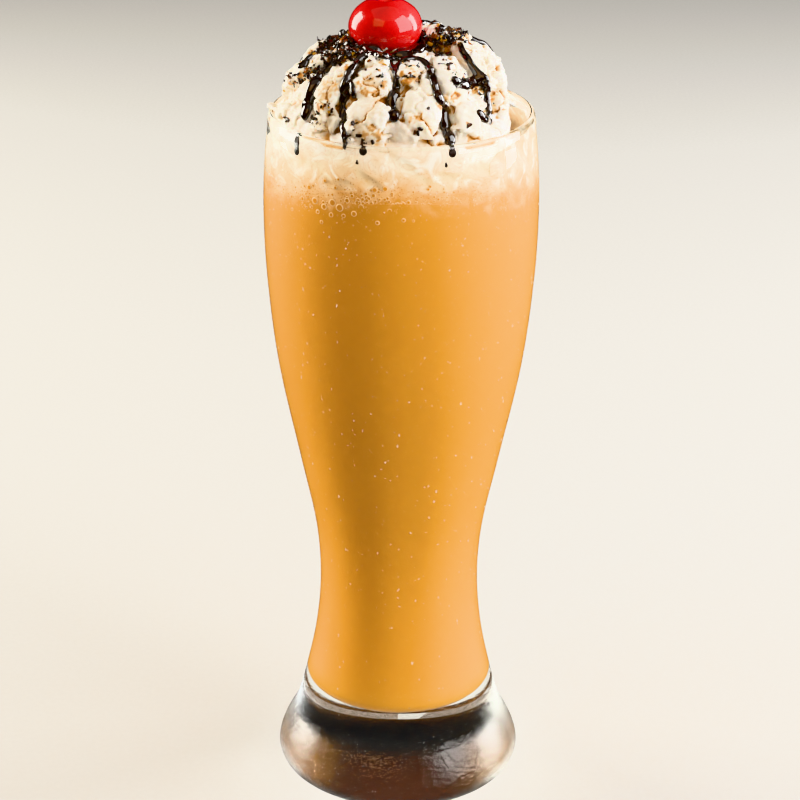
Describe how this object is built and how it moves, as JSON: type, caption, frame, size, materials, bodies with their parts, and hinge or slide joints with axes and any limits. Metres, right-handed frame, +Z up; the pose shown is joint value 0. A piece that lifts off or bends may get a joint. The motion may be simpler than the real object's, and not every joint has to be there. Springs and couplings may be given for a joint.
{
  "type": "mocha frappe in a footed glass",
  "caption": "Blended mocha coffee drink in a tall footed glass with a foam layer, whipped cream, chocolate syrup and crumbs, and a cherry on top.",
  "frame": {"origin": "middle of the ring that the glass rests on", "axes": "+Z up, -Y towards the shown front"},
  "size_m": [0.089, 0.089, 0.2705],
  "materials": {
    "glass": "clear polished",
    "drink": null,
    "foam": null,
    "whipped_cream": null,
    "cherry": null
  },
  "bodies": {
    "root": {"glass": "glass", "drink": "drink", "foam": "foam", "whipped_cream": "whipped_cream", "cherry": "cherry"}
  },
  "joints": []
}
